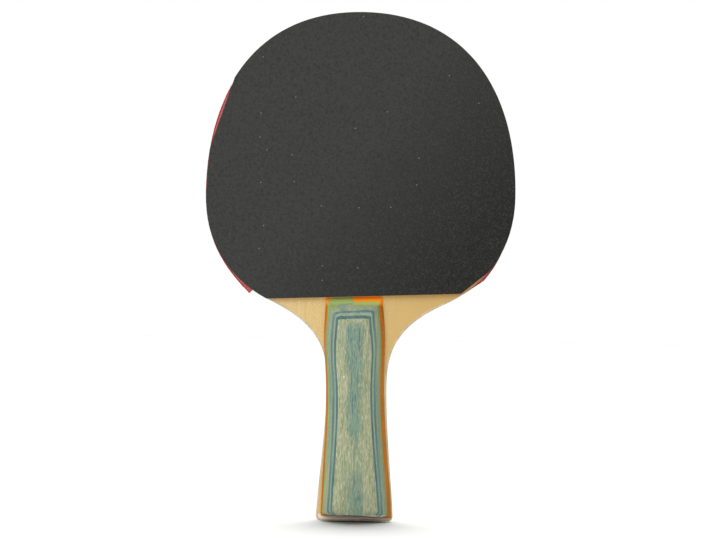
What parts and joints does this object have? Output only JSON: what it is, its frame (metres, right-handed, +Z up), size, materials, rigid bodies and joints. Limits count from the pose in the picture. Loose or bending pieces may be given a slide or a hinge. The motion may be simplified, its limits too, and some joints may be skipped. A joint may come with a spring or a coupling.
{
  "type": "table tennis paddle",
  "caption": "Table tennis paddle: plywood blade, smooth rubber with sponge on both faces, flared handle with dyed veneer scales.",
  "frame": {"origin": "centre of the handle's end face, on the middle plane of the blade", "axes": "+Z runs up the paddle to the tip of the head, the black forehand face looks along -Y, +X is to the right seen from the forehand side"},
  "size_m": [0.1502, 0.0219, 0.246],
  "materials": {
    "face_veneer": "satin",
    "cross_veneer": "matte",
    "core_veneer": "matte",
    "glue": "satin",
    "front_sponge": "matte",
    "back_sponge": "matte",
    "black_rubber": "matte",
    "red_rubber": "satin",
    "orange_veneer": "satin",
    "green_veneer": "satin",
    "sage_veneer": "satin",
    "lower_teal_veneer": "satin",
    "mist_veneer": "satin",
    "upper_teal_veneer": "satin",
    "crown_veneer": "satin",
    "ridge_veneer": "satin"
  },
  "bodies": {
    "root": {"blade_core_ply": "core_veneer", "blade_front_cross_ply": "cross_veneer", "blade_back_cross_ply": "cross_veneer", "blade_front_face_ply": "face_veneer", "blade_back_face_ply": "face_veneer", "front_glue_film": "glue", "front_sponge": "front_sponge", "front_top_sheet": "black_rubber", "back_glue_film": "glue", "back_sponge": "back_sponge", "back_top_sheet": "red_rubber", "front_scale_orange_veneer": "orange_veneer", "front_scale_green_veneer": "green_veneer", "front_scale_sage_veneer": "sage_veneer", "front_scale_lower_teal_veneer": "lower_teal_veneer", "front_scale_mist_veneer": "mist_veneer", "front_scale_upper_teal_veneer": "upper_teal_veneer", "front_scale_crown_veneer": "crown_veneer", "front_scale_ridge_veneer": "ridge_veneer", "back_scale_orange_veneer": "orange_veneer", "back_scale_green_veneer": "green_veneer", "back_scale_sage_veneer": "sage_veneer", "back_scale_lower_teal_veneer": "lower_teal_veneer", "back_scale_mist_veneer": "mist_veneer", "back_scale_upper_teal_veneer": "upper_teal_veneer", "back_scale_crown_veneer": "crown_veneer", "back_scale_ridge_veneer": "ridge_veneer"}
  },
  "joints": []
}
